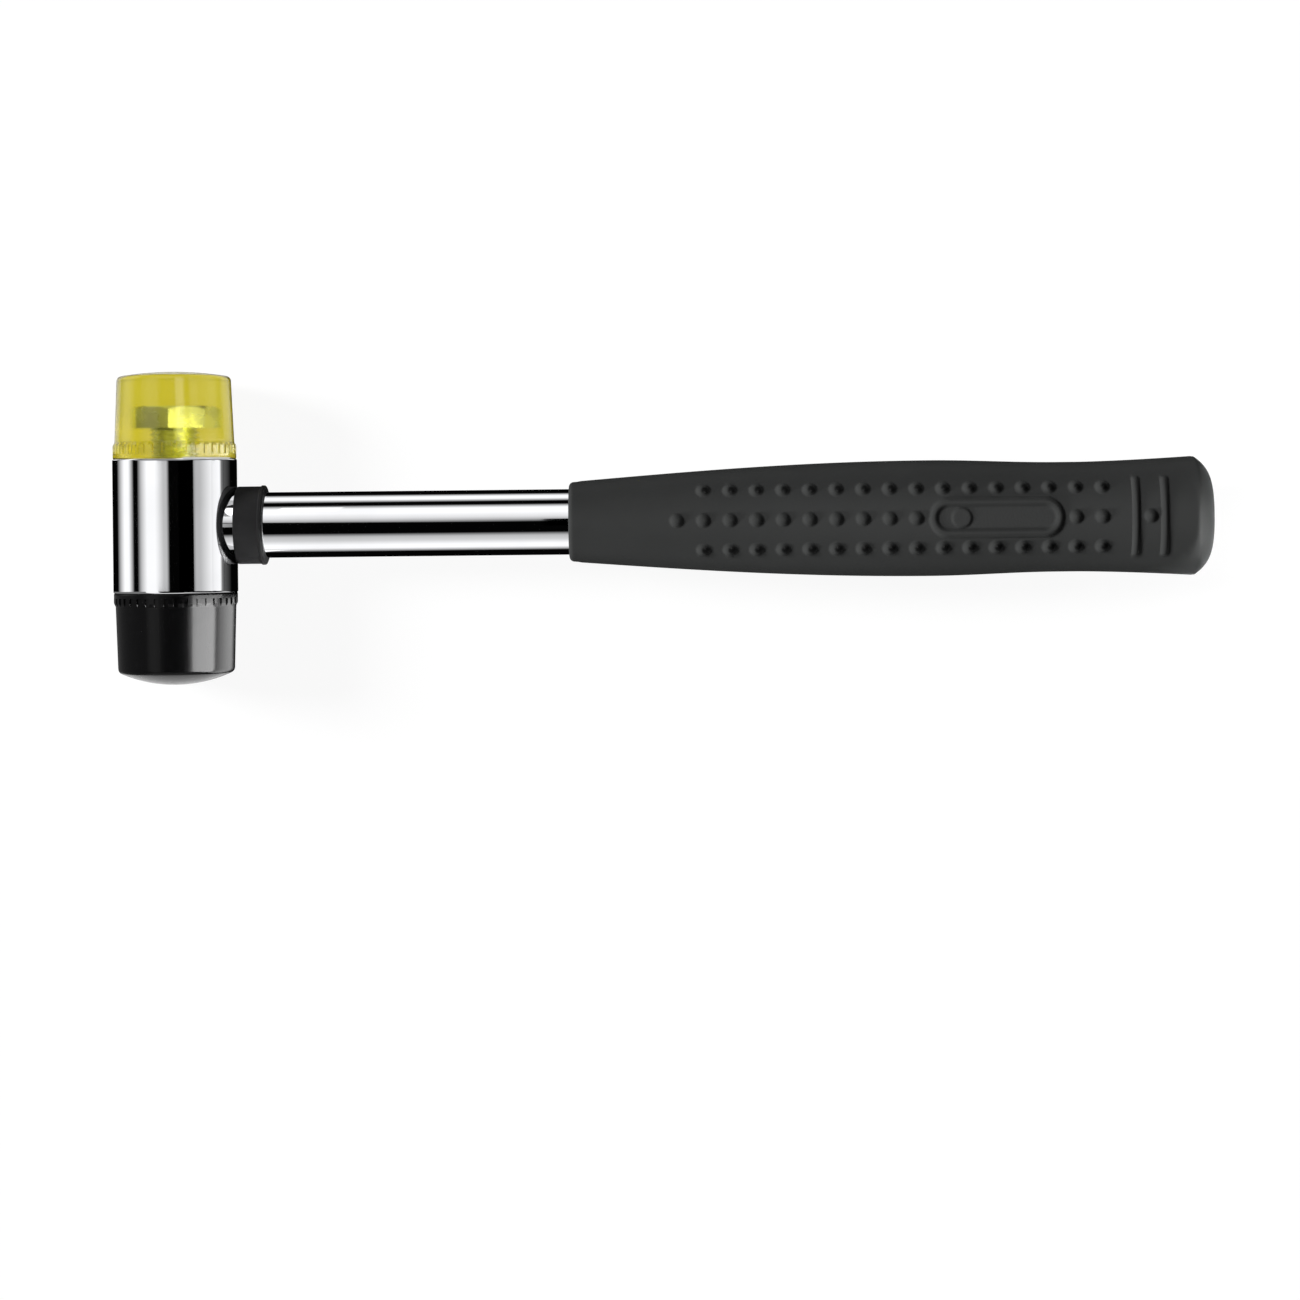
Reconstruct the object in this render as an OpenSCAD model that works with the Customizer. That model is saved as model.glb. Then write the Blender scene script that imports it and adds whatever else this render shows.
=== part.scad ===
// Soft face hammer: a plated steel head with a screw-in plastic face and a screw-in rubber face,
// on a plated steel tube with a moulded rubber grip. Millimetres.
// The hammer lies on its side: handle along X, head along Y with the plastic face at +Y, Z up.
// The origin is under the middle of its box, on the surface that it lies on.

/* [Head] */
// Diameter of the steel head
head_dia = 30; // [28:0.5:36]
// Length of the steel head between its two end faces
head_len = 32.5; // [30:0.5:45]
// Chamfer round each end of the head
head_chamfer = 0.4; // [0.2:0.1:1]

/* [Face bolts] */
// Diameter of the bolt that each face is moulded on
bolt_dia = 8; // [6:0.5:9]
// Length of each bolt under its hexagon head
bolt_len = 16; // [14:0.5:18]
// Length of each bolt that screws into the head
bolt_reach = 8.7; // [6:0.1:10]
// Width of the hexagon head across its flats
bolt_flats = 13; // [11:0.5:15]
// Height of the hexagon head
bolt_head_height = 5.3; // [4:0.1:6.5]

/* [Plastic face] */
// Length of the plastic face from the head to its crown
plastic_len = 21.2; // [19:0.2:26]
// Diameter of the plastic face's flange
plastic_flange_dia = 29.7; // [28:0.1:32]
// Length of the plastic face's flange
plastic_flange_len = 4; // [2.5:0.1:5]
// Diameter of the plastic face just past its flange
plastic_base_dia = 28.8; // [26:0.1:29]
// Diameter of the plastic face at its striking end
plastic_tip_dia = 27.5; // [24:0.1:28.5]
// Rounding of the plastic face's striking edge
plastic_edge = 1.2; // [0.6:0.1:2.5]
// Crown of the plastic face's striking end
plastic_crown = 1; // [0.4:0.1:2]

/* [Rubber face] */
// Length of the rubber face from the head to its crown
rubber_len = 22.4; // [20:0.2:27]
// Diameter of the rubber face's flange
rubber_flange_dia = 29.8; // [29:0.1:32]
// Length of the rubber face's flange
rubber_flange_len = 3.2; // [2.4:0.1:5]
// Diameter of the rubber face just past its flange
rubber_base_dia = 29; // [26:0.1:29.2]
// Diameter of the rubber face at its striking end
rubber_tip_dia = 28.1; // [24:0.1:28.8]
// Rounding of the rubber face's striking edge
rubber_edge = 1.4; // [0.6:0.1:2.5]
// Crown of the rubber face's striking end
rubber_crown = 2.6; // [0.4:0.1:3]

/* [Serration of the flanges] */
// Number of finger notches round each flange
notch_count = 40; // [24:1:48]
// Width of a finger notch
notch_width = 1.1; // [0.6:0.1:1.5]
// Depth of a finger notch
notch_depth = 0.35; // [0.2:0.05:0.5]
// Plain rim left between the notches and the head
notch_rim = 1.2; // [0.8:0.1:1.6]

/* [Handle tube] */
// Outside diameter of the handle tube
tube_dia = 16; // [14:0.1:17]
// Wall of the handle tube
tube_wall = 1.5; // [1:0.1:2.5]
// Distance from the head's axis to the tube's end inside the head
tube_root = 5.5; // [5.2:0.1:8]
// Rubber left between the tube's plugged end and the end of the butt
butt_rubber = 12; // [10:0.5:20]

/* [End plug] */
// Length of the plug inside the tube
plug_len = 12; // [8:0.5:20]
// Thickness of the plug's cap over the tube's end
plug_cap = 2; // [1:0.1:3]

/* [Neck collar] */
// Outside diameter of the rubber collar at the tube's neck
collar_dia = 18.9; // [17.8:0.1:20]
// Length of the collar
collar_len = 7; // [4:0.1:12]
// Rounding of the collar's edges
collar_edge = 0.4; // [0.2:0.05:0.5]
// Gap between the collar and the head
collar_gap = 0.2; // [0.1:0.05:0.5]

/* [Grip] */
// Distance from the head's axis to the front of the grip
grip_start = 96; // [70:0.5:120]
// Length of the grip
grip_len = 156; // [150:0.5:170]
// Diameter of the round front of the grip
grip_front_dia = 19.4; // [18.8:0.1:21]
// Rounding of the grip's front lip
grip_lip = 1.2; // [0.6:0.1:1.4]
// Width of the grip at its swell, where the palm closes on it
swell_width = 28; // [26:0.1:30]
// Distance of the swell from the end of the butt
swell_place = 68.5; // [64:0.5:76]
// Width of the grip at its waist, behind the palm
waist_width = 26.5; // [25:0.1:28]
// Distance of the waist from the end of the butt
waist_place = 37; // [32:0.5:42]
// Width of the grip at its butt
butt_width = 28.8; // [26:0.1:30]
// Length of the bevelled end of the butt
butt_bevel = 4.2; // [3:0.1:6]

/* [Grip pattern] */
// Diameter of a raised dot at its foot
dot_dia = 3.4; // [2.4:0.1:4]
// Height of a raised dot
dot_height = 1; // [0.4:0.05:1.1]
// Distance between two dots along the grip
dot_pitch = 6.38; // [5.5:0.02:8]
// Distance between two rows of dots
dot_row_pitch = 7.2; // [6.5:0.05:8]
// Distance of the first dot from the front of the grip
dot_first = 26.1; // [20:0.1:32]
// Length of the oval panel
panel_len = 32.4; // [26:0.2:36]
// Width of the oval panel
panel_width = 9.5; // [9:0.1:11]
// Width of the raised bead round the oval panel
panel_rim = 2.1; // [1:0.1:2.6]
// Height of the bead above the panel's floor
panel_rim_height = 0.6; // [0.3:0.05:1]
// Height of the panel's flat floor above the grip
panel_floor_height = 0.1; // [0.05:0.05:0.25]
// Distance of the panel's middle from the end of the butt
panel_place = 53.2; // [50:0.1:56]
// Diameter of the plain round boss on the panel
boss_dia = 4.8; // [3:0.1:5.4]
// Height of the boss above the panel's floor
boss_height = 0.4; // [0.2:0.05:0.6]
// Distance of the boss from the panel's middle, towards the head
boss_offset = 8.4; // [6:0.1:11]
// Distance of the first cross rib from the end of the butt
rib_place = 19.8; // [17.5:0.1:22.5]
// Distance between the two cross ribs
rib_pitch = 6.9; // [6.4:0.1:8]
// Length of a cross rib
rib_len = 19.6; // [14:0.1:21]
// Width of a cross rib at its foot
rib_width = 2; // [1.2:0.1:2.4]
// Height of a cross rib
rib_height = 0.7; // [0.3:0.05:0.9]

/* [Hidden] */
$fn = 96;

// Every cut runs this far past the surface that it leaves
overrun = 1;
// Radial room between a bolt and its tapped hole
thread_clearance = 0.05;
// Chamfer at a bolt's tip
bolt_tip_chamfer = 0.8;
// Small chamfer where a flange meets the head
flange_chamfer = 0.3;
// Slope in length from a flange down to the face's side
flange_slope = 0.8;

// Height of the collar's lip at its handle end
collar_lip = 0.25;
// Length of the collar's lip
collar_lip_len = 0.9;

// Arc steps of a rounded edge and of a crown
arc_steps = 8;

// Stations and sides of the grip's loft
lip_steps = 4;
body_steps = 30;
bevel_steps = 8;
grip_sides = 48;
// Thickness gained towards the swell, as a share of the width gained there
thickness_share = 0.62;
// Roundness of the grip's section: 2 is an ellipse, more is squarer
front_roundness_share = 2;
swell_roundness_share = 2.4;
// Curve of the flare from the waist to the butt, and of the bevel at the end
flare_power_share = 1.5;
bevel_power_share = 0.205;
// Part of the bevel's curve that is used before the flat end
bevel_end_share = 0.96;
// Part of the way from waist to butt that stays straight before the flare
waist_hold_share = 0.13;

head_radius = head_dia / 2;
tube_radius = tube_dia / 2;
tube_bore_radius = tube_radius - tube_wall;
collar_start = head_radius + collar_gap;
collar_radius = collar_dia / 2;
grip_end = grip_start + grip_len;
plug_end = grip_end - butt_rubber;
tube_end = plug_end - plug_cap;
plastic_reach = head_len / 2 + plastic_len;
rubber_reach = head_len / 2 + rubber_len;
rest_radius = max(head_dia, plastic_flange_dia, rubber_flange_dia) / 2;
bolt_head_corners = bolt_flats / cos(30);
// Stations along the grip, from its front
swell_at = grip_len - swell_place;
waist_at = grip_len - waist_place;
panel_at = grip_len - panel_place;
rib_at = grip_len - rib_place;
butt_start = grip_len - butt_bevel;
flare_start = waist_at + waist_hold_share * (butt_start - waist_at);
front_radius = grip_front_dia / 2;

// Moves the hammer from the crossing of its two axes to its place on the bench.
module on_bench() {
    middle_x = (grip_end - head_radius) / 2;
    middle_y = (plastic_reach - rubber_reach) / 2;
    translate([-middle_x, -middle_y, rest_radius]) children();
}

// Turns a shape drawn along Z so that it points along the handle.
module along_handle() {
    rotate([90, 0, 90]) children();
}

// Turns a shape drawn along Z so that it points out of the head's plastic side, or its rubber side.
module out_of_head(side) {
    rotate([side * -90, 0, 0]) children();
}

// Points of an arc in the plane, from one angle to another.
function arc(centre, radius, from, to, steps) = [
    for (i = [0 : steps])
        let (a = from + (to - from) * i / steps)
        centre + radius * [cos(a), sin(a)]
];

// Steel head: tapped from end to end, with a blind side bore for the tube.
module head_body() {
    tapped_radius = bolt_dia / 2 + thread_clearance;
    half = head_len / 2;
    edge = head_radius - head_chamfer;
    color("silver")
    on_bench()
    difference() {
        out_of_head(1)
        rotate_extrude()
        polygon([
            [tapped_radius, -half],
            [edge, -half],
            [head_radius, head_chamfer - half],
            [head_radius, half - head_chamfer],
            [edge, half],
            [tapped_radius, half]
        ]);
        along_handle()
        translate([0, 0, tube_root])
        cylinder(r = tube_radius, h = head_radius - tube_root + overrun);
    }
}

// Hexagon bolt drawn with the end face of the head at zero and its tip below it.
module face_bolt_shape() {
    underside = bolt_len - bolt_reach;
    radius = bolt_dia / 2;
    corner = bolt_head_corners / 2;
    chamfer_rise = (corner - bolt_flats / 2) * tan(30);
    translate([0, 0, underside])
    intersection() {
        rotate([0, 0, 30])
        cylinder(d = bolt_head_corners, h = bolt_head_height, $fn = 6);
        rotate_extrude()
        polygon([
            [0, 0],
            [corner, 0],
            [corner, bolt_head_height - chamfer_rise],
            [bolt_flats / 2, bolt_head_height],
            [0, bolt_head_height]
        ]);
    }
    rotate_extrude()
    polygon([
        [0, -bolt_reach],
        [radius - bolt_tip_chamfer, -bolt_reach],
        [radius, bolt_tip_chamfer - bolt_reach],
        [radius, underside],
        [0, underside]
    ]);
}

// Turned outline of a face: flange, tapered side, rounded edge and crown, from the head outwards.
function face_outline(length, flange, flange_len, base, tip, edge, crown) =
    let (
        crown_half = tip / 2 - edge,
        crown_radius = (crown_half * crown_half + crown * crown) / (2 * crown),
        crown_angle = asin(crown_half / (crown_radius - edge)),
        crown_centre = length - crown_radius,
        edge_centre = [crown_half, crown_centre + (crown_radius - edge) * cos(crown_angle)]
    )
    concat(
        [
            [0, 0],
            [flange / 2 - flange_chamfer, 0],
            [flange / 2, flange_chamfer],
            [flange / 2, flange_len - flange_slope],
            [base / 2, flange_len]
        ],
        arc(edge_centre, edge, 0, 90 - crown_angle, arc_steps),
        [
            for (i = [1 : arc_steps])
                let (a = crown_angle * (1 - i / arc_steps))
                [crown_radius * sin(a), crown_centre + crown_radius * cos(a)]
        ]
    );

// Face moulded round its bolt, with a ring of finger notches in the flange.
module face_shape(length, flange, flange_len, base, tip, edge, crown) {
    difference() {
        rotate_extrude()
        polygon(face_outline(length, flange, flange_len, base, tip, edge, crown));
        for (i = [0 : notch_count - 1])
            rotate([0, 0, 360 * i / notch_count])
            translate([flange / 2 - notch_depth, -notch_width / 2, notch_rim])
            cube([notch_depth + overrun, notch_width, flange_len - notch_rim]);
        face_bolt_shape();
    }
}

module plastic_face() {
    color([0.86, 0.80, 0.16, 0.75])
    on_bench()
    out_of_head(1)
    translate([0, 0, head_len / 2])
    face_shape(plastic_len, plastic_flange_dia, plastic_flange_len,
        plastic_base_dia, plastic_tip_dia, plastic_edge, plastic_crown);
}

module plastic_face_bolt() {
    color("gainsboro")
    on_bench()
    out_of_head(1)
    translate([0, 0, head_len / 2])
    face_bolt_shape();
}

module rubber_face() {
    color([0.10, 0.10, 0.10])
    on_bench()
    out_of_head(-1)
    translate([0, 0, head_len / 2])
    face_shape(rubber_len, rubber_flange_dia, rubber_flange_len,
        rubber_base_dia, rubber_tip_dia, rubber_edge, rubber_crown);
}

module rubber_face_bolt() {
    color("gainsboro")
    on_bench()
    out_of_head(-1)
    translate([0, 0, head_len / 2])
    face_bolt_shape();
}

// Plated tube, seated in the head's side bore and plugged inside the grip.
module handle_tube() {
    color("silver")
    on_bench()
    along_handle()
    translate([0, 0, tube_root])
    difference() {
        cylinder(r = tube_radius, h = tube_end - tube_root);
        translate([0, 0, -overrun])
        cylinder(r = tube_bore_radius, h = tube_end - tube_root + 2 * overrun);
    }
}

// Plug that closes the tube's end, with a cap over the tube's edge.
module tube_end_plug() {
    color([0.20, 0.20, 0.20])
    on_bench()
    along_handle()
    translate([0, 0, tube_end]) {
        cylinder(r = tube_radius, h = plug_cap);
        translate([0, 0, -plug_len])
        cylinder(r = tube_bore_radius, h = plug_len + plug_cap / 2);
    }
}

// Rubber ring on the tube's neck, against the head, with a low lip at its handle end.
module tube_collar() {
    lip_radius = collar_radius + collar_lip;
    lip_start = collar_len - collar_lip_len;
    color([0.17, 0.17, 0.17])
    on_bench()
    along_handle()
    translate([0, 0, collar_start])
    rotate_extrude()
    polygon(concat(
        [[tube_radius, 0]],
        arc([collar_radius - collar_edge, collar_edge], collar_edge, -90, 0, arc_steps),
        [[collar_radius, lip_start - collar_lip]],
        arc([lip_radius - collar_edge, collar_len - collar_edge], collar_edge, 0, 90, arc_steps),
        [[tube_radius, collar_len]]
    ));
}

// Smooth rise from 0 to 1.
function ease(t) = (1 - cos(180 * t)) / 2;

// Half width of the grip at a distance from its front, before the bevel: it swells, draws in
// to the waist and flares to the butt.
function grip_half_width(g) =
    let (
        front = front_radius,
        swell = swell_width / 2,
        waist = waist_width / 2,
        butt = butt_width / 2
    )
    g < grip_lip ? front - grip_lip + sqrt(g * (2 * grip_lip - g)) :
    g < swell_at ? front + (swell - front) * sin(90 * (g - grip_lip) / (swell_at - grip_lip)) :
    g < waist_at ? swell + (waist - swell) * ease((g - swell_at) / (waist_at - swell_at)) :
    g < flare_start ? waist :
    waist + (butt - waist) * pow(min(1, (g - flare_start) / (butt_start - flare_start)), flare_power_share);

// Half thickness: round at the front, then flatter than it is wide.
function grip_half_thickness(g) =
    let (width = grip_half_width(g))
    width < front_radius ? width : front_radius + thickness_share * (width - front_radius);

// Share of the section that the bevel leaves.
function bevel_left(g) =
    g < butt_start ? 1 : pow(1 - bevel_end_share * (g - butt_start) / butt_bevel, bevel_power_share);

// Roundness of the section, which squares up towards the swell.
function grip_roundness(g) =
    front_roundness_share
    + (swell_roundness_share - front_roundness_share) * ease(min(1, g / swell_at));

// Height of the grip's surface over its axis at a distance from its front and from its middle line.
function grip_height(g, y) =
    let (n = grip_roundness(g))
    grip_half_thickness(g) * pow(1 - pow(abs(y) / grip_half_width(g), n), 1 / n);

function signed_power(v, p) = sign(v) * pow(abs(v), p);

// One ring of the loft.
function grip_ring(g) =
    let (
        p = 2 / grip_roundness(g),
        half_width = grip_half_width(g) * bevel_left(g),
        half_thickness = grip_half_thickness(g) * bevel_left(g)
    )
    [
        for (i = [0 : grip_sides - 1])
            let (a = 360 * i / grip_sides)
            [g, half_width * signed_power(cos(a), p), half_thickness * signed_power(sin(a), p)]
    ];

grip_stations = concat(
    [for (i = [0 : lip_steps - 1]) grip_lip * (1 - cos(90 * i / lip_steps))],
    [for (i = [0 : body_steps - 1]) grip_lip + (butt_start - grip_lip) * i / body_steps],
    [for (i = [0 : bevel_steps]) butt_start + butt_bevel * (1 - pow(1 - i / bevel_steps, 2))]
);

// Loft of the grip's outside through its rings.
module grip_loft() {
    rings = len(grip_stations);
    points = [for (g = grip_stations) each grip_ring(g)];
    last = (rings - 1) * grip_sides;
    faces = concat(
        [[for (i = [0 : grip_sides - 1]) i]],
        [
            for (r = [0 : rings - 2], i = [0 : grip_sides - 1])
                let (
                    next = (i + 1) % grip_sides,
                    a = r * grip_sides + i,
                    b = r * grip_sides + next,
                    c = a + grip_sides,
                    d = b + grip_sides
                )
                each [[a, c, d], [a, d, b]]
        ],
        [[for (i = [grip_sides - 1 : -1 : 0]) last + i]]
    );
    polyhedron(points = points, faces = faces);
}

// Radius of a ball or bar that shows a cap of a given width and height.
function cap_radius(width, height) = (width * width / 4 + height * height) / (2 * height);

// Raised dot: the cap of a ball whose middle lies under the grip's surface.
module grip_dot(g, y) {
    ball_radius = cap_radius(dot_dia, dot_height);
    step = dot_dia / 4;
    lean = atan2(grip_height(g, y - step) - grip_height(g, y + step), 2 * step);
    translate([g, y, grip_height(g, y)])
    rotate([-lean, 0, 0])
    translate([0, 0, dot_height - ball_radius])
    sphere(r = ball_radius);
}

// Dots of one side in three rows. A dot that would meet the panel is left out where there is one.
module grip_dots(with_panel) {
    last = rib_at - rib_width / 2 - dot_dia / 2;
    columns = floor((last - dot_first) / dot_pitch);
    clear = panel_len / 2 + dot_dia / 4;
    for (c = [0 : columns]) {
        g = dot_first + c * dot_pitch;
        if (!with_panel || abs(g - panel_at) > clear)
            grip_dot(g, 0);
        if (c > 0)
            for (row = [-1, 1])
                grip_dot(g, row * dot_row_pitch);
    }
    grip_dot(rib_at + rib_pitch / 2, 0);
}

// Cross ribs: round bars bent to the curve of the grip, sunk to their height.
module grip_ribs() {
    half = rib_len / 2;
    bar_radius = cap_radius(rib_width, rib_height);
    for (i = [0, 1]) {
        g = rib_at + i * rib_pitch;
        top = grip_height(g, 0);
        drop = top - grip_height(g, half);
        bend = (half * half + drop * drop) / (2 * drop);
        reach = asin(half / bend);
        sunk = bend - bar_radius + rib_height;
        translate([g, 0, top - bend])
        rotate([90, 0, 90])
        rotate([0, 0, 90 - reach])
        rotate_extrude(angle = 2 * reach)
        translate([sunk, 0])
        circle(r = bar_radius);
    }
}

// Flat shape with two straight sides and two round ends.
module stadium(length, width) {
    for (side = [-1, 1])
        translate([side * (length - width) / 2, 0])
        circle(d = width);
    square([length - width, width], center = true);
}

// Round bar laid along the middle of a stadium's rim: two straight runs and two half rings.
module stadium_bar(length, width, bar_radius) {
    straight = length - width;
    for (side = [-1, 1]) {
        translate([-straight / 2, side * width / 2, 0])
        rotate([0, 90, 0])
        cylinder(r = bar_radius, h = straight);
        translate([side * straight / 2, 0, 0])
        rotate([0, 0, side * -90])
        rotate_extrude(angle = 180)
        translate([width / 2, 0])
        circle(r = bar_radius);
    }
}

// Oval panel: a bare flat floor inside a raised bead, with a plain round boss, laid along the grip.
module grip_panel() {
    front = grip_height(panel_at - panel_len / 2, 0);
    rear = grip_height(panel_at + panel_len / 2, 0);
    root = (front + tube_radius) / 2;
    lean = atan2(front - rear, panel_len);
    floor_level = grip_height(panel_at, 0) + panel_floor_height;
    bead_radius = cap_radius(panel_rim, panel_rim_height);
    translate([panel_at, 0, 0])
    rotate([0, lean, 0]) {
        translate([0, 0, root])
        linear_extrude(floor_level - root)
        stadium(panel_len - panel_rim, panel_width - panel_rim);
        translate([0, 0, floor_level + panel_rim_height - bead_radius])
        stadium_bar(panel_len - panel_rim, panel_width - panel_rim, bead_radius);
        translate([-boss_offset, 0, root])
        cylinder(d = boss_dia, h = floor_level + boss_height - root);
    }
}

// Rubber sleeve over the tube, closed at the butt, with dots on both sides and a panel on one.
module grip() {
    color([0.21, 0.22, 0.22])
    on_bench()
    translate([grip_start, 0, 0])
    difference() {
        union() {
            grip_loft();
            grip_dots(true);
            grip_ribs();
            grip_panel();
            rotate([180, 0, 0]) {
                grip_dots(false);
                grip_ribs();
            }
        }
        along_handle()
        translate([0, 0, -overrun])
        cylinder(r = tube_radius, h = plug_end - grip_start + overrun);
    }
}

head_body();
plastic_face();
plastic_face_bolt();
rubber_face();
rubber_face_bolt();
handle_tube();
tube_end_plug();
tube_collar();
grip();
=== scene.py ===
import math

import bpy
import numpy as np
from bpy.props import FloatProperty, FloatVectorProperty, IntProperty, PointerProperty
from bpy.types import Operator, Panel, PropertyGroup
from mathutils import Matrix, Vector


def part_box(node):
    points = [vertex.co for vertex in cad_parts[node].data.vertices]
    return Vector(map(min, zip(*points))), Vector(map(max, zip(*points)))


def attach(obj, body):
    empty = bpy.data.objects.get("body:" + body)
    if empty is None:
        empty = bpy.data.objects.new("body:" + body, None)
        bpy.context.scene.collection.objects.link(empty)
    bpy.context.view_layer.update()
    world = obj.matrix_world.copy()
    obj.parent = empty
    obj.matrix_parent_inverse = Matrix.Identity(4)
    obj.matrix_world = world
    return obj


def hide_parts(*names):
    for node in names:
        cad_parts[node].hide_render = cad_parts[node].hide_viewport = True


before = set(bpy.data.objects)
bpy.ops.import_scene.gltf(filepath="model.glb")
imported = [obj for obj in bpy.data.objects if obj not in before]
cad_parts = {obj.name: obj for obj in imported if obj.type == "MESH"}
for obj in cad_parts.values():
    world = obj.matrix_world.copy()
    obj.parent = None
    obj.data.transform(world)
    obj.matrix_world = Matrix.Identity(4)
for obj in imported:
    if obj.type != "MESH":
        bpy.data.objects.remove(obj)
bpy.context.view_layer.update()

bl_info = {
    "name": "Soft face hammer",
    "version": (1, 0, 0),
    "blender": (4, 5, 0),
    "location": "View3D > Sidebar > Hammer",
    "description": "Dresses the packed soft face hammer: plated head and tube, moulded faces, dotted grip",
    "category": "Object",
}

MM = 0.001
# Air left between the clear face and the head.
SEAT_GAP = 0.03 * MM
# Flats on the crests and in the grooves of the thread, as a share of its pitch.
THREAD_FLAT = 0.14
# Radius of the bolt heads' chamfer at their top, as a share of half their width across flats.
CHAMFER_SHARE = 0.97
TUBE_WALL = 1.5 * MM
COLLAR_LIP = 0.9 * MM
COLLAR_STEP = 0.25 * MM
# Points on one turn of each turned piece, and rings along a bolt's shank.
HEAD_TURN = 288
BOLT_TURN = 96
SHANK_RINGS = 150
TUBE_TURN = 192
COLLAR_TURN = 144
# Floor, lamps and camera.
FLOOR_HALF = 4.0
FLOOR_DROP = 0.2 * MM
SENSOR_WIDTH = 36.0
KEY_FROM = (-0.80, 0.24, 0.51)
KEY_SPREAD = math.radians(18)
DOT_LIGHT_FROM = (-0.90, -0.34, 0.24)
DOT_LIGHT_SPREAD = math.radians(12)
BUTT_LIGHT_FROM = (1, 0, 0)
BUTT_LIGHT_SIZE = 0.02
WHITE = (1.0, 1.0, 1.0, 1.0)
DARK = 0.001
HAMMER_BODY = "hammer_body"
PLASTIC_UNIT = "plastic_face_unit"
RUBBER_UNIT = "rubber_face_unit"


def node_box(node):
    """Lowest and highest corner of a solid at rest, as arrays."""
    low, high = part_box(node)
    return np.array(low), np.array(high)


HEAD_LOW, HEAD_HIGH = node_box("head_body")
TUBE_LOW, TUBE_HIGH = node_box("handle_tube")
PLUG_HIGH = node_box("tube_end_plug")[1]
COLLAR_LOW, COLLAR_HIGH = node_box("tube_collar")
GRIP_LOW, GRIP_HIGH = node_box("grip")
PLASTIC_LOW, PLASTIC_HIGH = node_box("plastic_face")
RUBBER_LOW, RUBBER_HIGH = node_box("rubber_face")
PLASTIC_BOLT_LOW, PLASTIC_BOLT_HIGH = node_box("plastic_face_bolt")

HEAD_AXIS = (HEAD_LOW + HEAD_HIGH) / 2
TUBE_AXIS = (TUBE_LOW + TUBE_HIGH) / 2
HEAD_RADIUS = (HEAD_HIGH[0] - HEAD_LOW[0]) / 2
TUBE_RADIUS = (TUBE_HIGH[2] - TUBE_LOW[2]) / 2
GRIP_LENGTH = GRIP_HIGH[0] - GRIP_LOW[0]


def length_property(name, description, default):
    """A size that the sidebar shows as a length."""
    return FloatProperty(name=name, description=description, default=default, min=0.0, precision=5,
                         subtype="DISTANCE", unit="LENGTH")


def colour_property(name, description, default):
    """A colour that the sidebar shows as a swatch."""
    return FloatVectorProperty(name=name, description=description, default=default, size=3,
                               min=0.0, max=1.0, subtype="COLOR")


class HammerHeadSettings(PropertyGroup):
    """Steel head and the screw threads."""

    edge: length_property("End rounding", "Rounding of the head's two end edges", 0.4 * MM)
    hole: length_property("Tapped hole", "Radius inside the crests of the tapped hole", 4.05 * MM)
    pitch: length_property("Thread pitch", "Distance between two turns of the thread", 1.25 * MM)
    thread: length_property("Thread depth", "Depth of the thread's groove", 0.55 * MM)
    bolt: length_property("Bolt radius", "Radius of the bolts over their thread", 4.0 * MM)
    flats: length_property("Bolt head", "Width of the hexagon heads across their flats", 13.0 * MM)
    bolt_head: length_property("Bolt head height", "Height of the hexagon heads", 5.3 * MM)
    tip: length_property("Bolt tip", "Chamfer at the tip of each bolt", 0.8 * MM)
    plating: colour_property("Plating", "Colour of the bright plating", (0.88, 0.885, 0.9))
    zinc: colour_property("Bolt plating", "Colour of the plated bolts", (0.87, 0.93, 0.83))


class HammerFaceSettings(PropertyGroup):
    """Moulded faces at the two ends of the head."""

    plastic_flange: length_property("Plastic flange", "Length of the plastic face's flange", 4.0 * MM)
    plastic_base: length_property("Plastic base", "Radius of the plastic face past its flange", 14.4 * MM)
    plastic_tip: length_property("Plastic tip", "Radius of the plastic face at its end", 13.75 * MM)
    plastic_edge: length_property("Plastic edge", "Rounding of the plastic face's edge", 1.2 * MM)
    plastic_crown: length_property("Plastic crown", "Crown of the plastic face's end", 1.0 * MM)
    rubber_flange: length_property("Rubber flange", "Length of the rubber face's flange", 3.2 * MM)
    rubber_base: length_property("Rubber base", "Radius of the rubber face past its flange", 14.5 * MM)
    rubber_tip: length_property("Rubber tip", "Radius of the rubber face at its end", 14.05 * MM)
    rubber_edge: length_property("Rubber edge", "Rounding of the rubber face's edge", 1.4 * MM)
    rubber_crown: length_property("Rubber crown", "Crown of the rubber face's end", 2.6 * MM)
    slope: length_property("Flange slope", "Length of the slope from flange to side", 0.8 * MM)
    notches: IntProperty(name="Notches", description="Finger notches round each flange", default=40, min=12)
    notch_width: length_property("Notch width", "Width of a finger notch", 1.1 * MM)
    notch_depth: length_property("Notch depth", "Depth of a finger notch", 0.35 * MM)
    notch_rim: length_property("Notch rim", "Plain rim between the notches and the head", 1.2 * MM)
    yellow: colour_property("Clear yellow", "Tint of the clear plastic in its depth", (0.86, 0.82, 0.05))
    black: colour_property("Face rubber", "Colour of the rubber face", (0.0035, 0.0035, 0.0037))


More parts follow.
